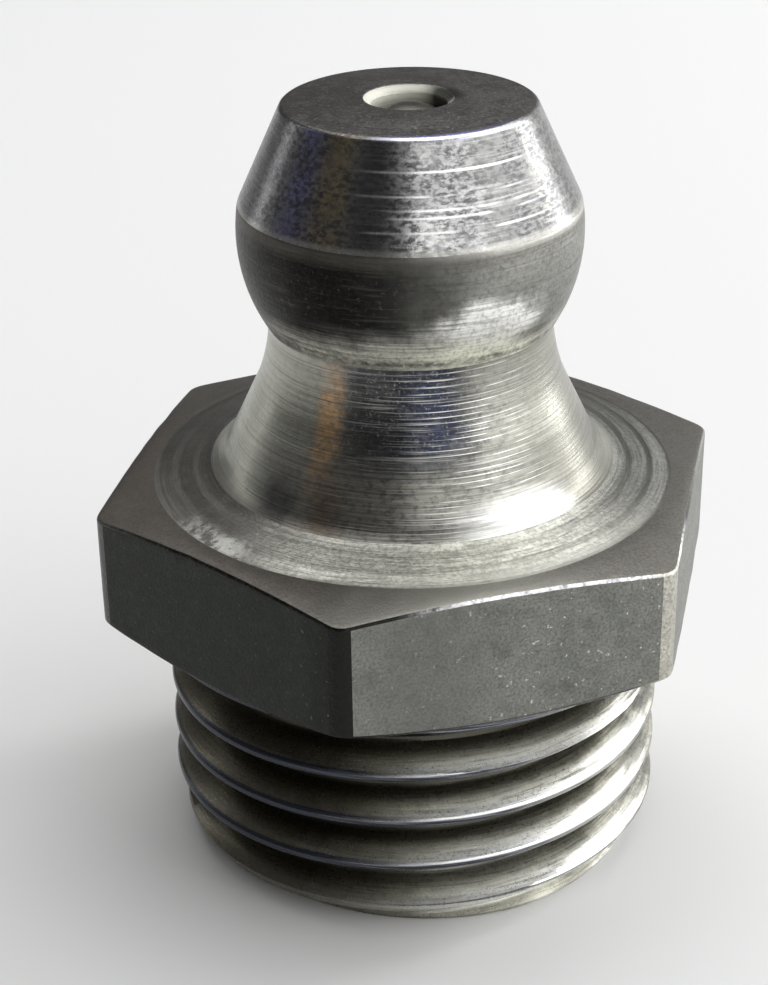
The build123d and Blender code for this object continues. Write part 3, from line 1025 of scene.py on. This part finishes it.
class NIPPLE_OT_body(Operator):
    """Builds the turned body with its head, hexagon, thread and bore"""

    bl_idname = "nipple.body"
    bl_label = "Body"

    def execute(self, context):
        scene = context.scene
        groups = scene.nipple_head, scene.nipple_bore, scene.nipple_hexagon, scene.nipple_thread
        head, bore, hexagon, thread = map(millimetres, groups)
        mesh = bmesh.new()
        body_outline(mesh, head, bore, hexagon, thread)
        full_turn(mesh)
        press_hexagon(mesh, hexagon)

        shank = bmesh.new()
        cut_thread(shank, thread)
        part = bpy.data.meshes.new("thread")
        shank.to_mesh(part)
        shank.free()
        mesh.from_mesh(part)
        bpy.data.meshes.remove(part)

        join = relief_middle(thread)
        loops = end_loops(mesh, join) + end_loops(mesh, join - RELIEF_JOIN)
        bmesh.ops.bridge_loops(mesh, edges=loops)
        bmesh.ops.bridge_loops(mesh, edges=end_loops(mesh, 0))
        bmesh.ops.recalc_face_normals(mesh, faces=mesh.faces)

        zones = list(FINISHES)
        for face in mesh.faces:
            face.material_index = zones.index(zone(face, head, bore, hexagon))
        materials = [plated(name, scene.nipple_finish) for name in zones]
        finished(mesh, "turned_body", "nipple", materials, ["body"])
        return {"FINISHED"}


class NIPPLE_OT_ball(Operator):
    """Builds the check ball on its seat"""

    bl_idname = "nipple.ball"
    bl_label = "Check Ball"

    def execute(self, context):
        ball = millimetres(context.scene.nipple_ball)
        mesh = bmesh.new()
        place = Matrix.Translation((0, 0, ball.height))
        bmesh.ops.create_icosphere(mesh, subdivisions=5, radius=ball.radius, matrix=place)
        finish = Finish("ball_steel")
        scratch = finish.noise((6, 6, 6), 3, 0.6)
        track = finish.rings(6, 0.3).step(0.4, 0.7)
        finish.wear(context.scene.nipple_finish.ball, track, (0.08, 0.08, 0.07), scratch)
        finished(mesh, "polished_ball", "ball", [finish.material], ["check_ball"])
        return {"FINISHED"}


class NIPPLE_OT_spring(Operator):
    """Winds the spring between the bore's lip and the ball"""

    bl_idname = "nipple.spring"
    bl_label = "Spring"

    def execute(self, context):
        spring = millimetres(context.scene.nipple_spring)
        mesh = bmesh.new()
        place = Matrix.Translation((spring.coil_radius, 0, spring.foot))
        bmesh.ops.create_circle(
            mesh, cap_ends=True, segments=WIRE_SIDES, radius=spring.wire_radius,
            matrix=place @ Matrix.Rotation(TURN / 4, 4, "X"),
        )
        section = everything(mesh)
        closed = 1, spring.closed_pitch
        working = spring.working_turns, spring.head - spring.foot - 2 * spring.closed_pitch
        for turns, rise in (closed, working, closed):
            section = wind(mesh, section, TURN * turns, rise, turns * SPRING_STEPS)
        finish = Finish("spring_wire")
        marks = finish.rings(9, 0.8)
        drawn = marks.step(0.35, 0.7)
        finish.wear(context.scene.nipple_finish.wire, drawn, (0.16, 0.16, 0.15), marks)
        finishes = [finish.material]
        wire = finished(mesh, "wound_spring", "nipple", finishes, ["ball_spring"])
        travel = next(j for j in frame["joints"] if j["name"] == "ball_lift")["range_m"][1] / MM
        foot = spring.foot - spring.wire_radius
        tall = spring.head + spring.wire_radius - foot
        keep = (tall - travel - spring.squeezed_gap) / tall
        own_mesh(wire)
        return {"FINISHED"}


def around(degrees, distance, height):
    """A place beside the nipple, turned that far to the right of the camera's side."""
    side = radians(degrees + CAMERA_SIDE)
    return distance * cos(side), distance * sin(side), height


def soft_box(name, power, width, height, place, target):
    """A soft box that faces its target and stays out of sight."""
    light = bpy.data.lights.new(name, "AREA")
    light.shape = "RECTANGLE"
    light.size, light.size_y = width, height
    light.energy = power
    lamp = bpy.data.objects.new(name, light)
    lamp.location = place
    lamp.rotation_euler = (Vector(target) - Vector(place)).to_track_quat("-Z", "Y").to_euler()
    lamp.visible_camera = False
    bpy.context.scene.collection.objects.link(lamp)


def lay_floor(scene):
    """Lays the pale floor just under the nipple."""
    mesh = bmesh.new()
    place = Matrix.Translation((0, 0, -0.02 * MM))
    bmesh.ops.create_grid(mesh, x_segments=8, y_segments=8, size=0.8, matrix=place)
    data = bpy.data.meshes.new("floor")
    mesh.to_mesh(data)
    mesh.free()
    floor = bpy.data.objects.new("floor", data)
    scene.collection.objects.link(floor)
    finish = Finish("floor")
    cloud = finish.noise((0.02, 0.02, 0.02))
    pale = scene.nipple_finish.floor
    finish.shade(Base_Color=finish.mix(cloud, pale, [c * 0.99 for c in pale]), Roughness=0.8)
    data.materials.append(finish.material)


def place_camera(scene):
    """Stands the camera a little above the nipple, in front of a corner."""
    lens = bpy.data.cameras.new("camera")
    lens.lens = CAMERA_LENS
    lens.clip_start = 0.001
    lens.clip_end = 10
    camera = bpy.data.objects.new("camera", lens)
    camera.location = CAMERA_PLACE
    camera.rotation_euler = (
        Matrix.Rotation(radians(CAMERA_TURN), 3, "Z")
        @ Matrix.Rotation(radians(90 - CAMERA_FALL), 3, "X")
        @ Matrix.Rotation(radians(CAMERA_ROLL), 3, "Z")
    ).to_euler()
    scene.collection.objects.link(camera)
    scene.camera = camera


class NIPPLE_OT_stage(Operator):
    """Adds the pale floor, the soft boxes and the camera"""

    bl_idname = "nipple.stage"
    bl_label = "Stage"

    def execute(self, context):
        scene = context.scene
        stage = scene.nipple_stage
        lay_floor(scene)
        for name, (width, tall, side, distance, height) in SOFT_BOXES.items():
            place, target = around(side, distance, height), (0, 0, height)
            soft_box(name, getattr(stage, name), width, tall, place, target)
        soft_box("top", stage.top, 0.36, 0.36, around(180, 0.13, 0.36), (0, 0, 0.008))

        world = bpy.data.worlds.new("room")
        world.use_nodes = True
        light = world.node_tree.nodes["Background"].inputs["Color"]
        light.default_value = (stage.room,) * 3 + (1,)
        scene.world = world
        place_camera(scene)
        scene.view_settings.view_transform = "Standard"
        return {"FINISHED"}


STEPS = (NIPPLE_OT_body, NIPPLE_OT_ball, NIPPLE_OT_spring, NIPPLE_OT_stage)


class NIPPLE_PT_panel(Panel):
    """Lists the steps that build the nipple"""

    bl_idname = "NIPPLE_PT_panel"
    bl_label = "Grease Nipple"
    bl_space_type = "VIEW_3D"
    bl_region_type = "UI"
    bl_category = "Nipple"

    def draw(self, context):
        for step in STEPS:
            self.layout.operator(step.bl_idname)


# The settings that the scene keeps, by the names of its properties.
GROUPS = {
    "nipple_head": HeadSettings,
    "nipple_bore": BoreSettings,
    "nipple_hexagon": HexagonSettings,
    "nipple_thread": ThreadSettings,
    "nipple_ball": BallSettings,
    "nipple_spring": SpringSettings,
    "nipple_finish": FinishSettings,
    "nipple_stage": StageSettings,
}


def register():
    """Adds the settings, the steps and the panel."""
    for cls in (*GROUPS.values(), *STEPS, NIPPLE_PT_panel):
        bpy.utils.register_class(cls)
    for name, group in GROUPS.items():
        setattr(bpy.types.Scene, name, bpy.props.PointerProperty(type=group))


def unregister():
    """Takes them away again."""
    for name in GROUPS:
        delattr(bpy.types.Scene, name)
    for cls in reversed((*GROUPS.values(), *STEPS, NIPPLE_PT_panel)):
        bpy.utils.unregister_class(cls)


def main():
    """Builds the nipple and its stage."""
    register()
    bpy.ops.nipple.body()
    bpy.ops.nipple.ball()
    bpy.ops.nipple.spring()
    bpy.ops.nipple.stage()


if __name__ == "__main__":
    main()
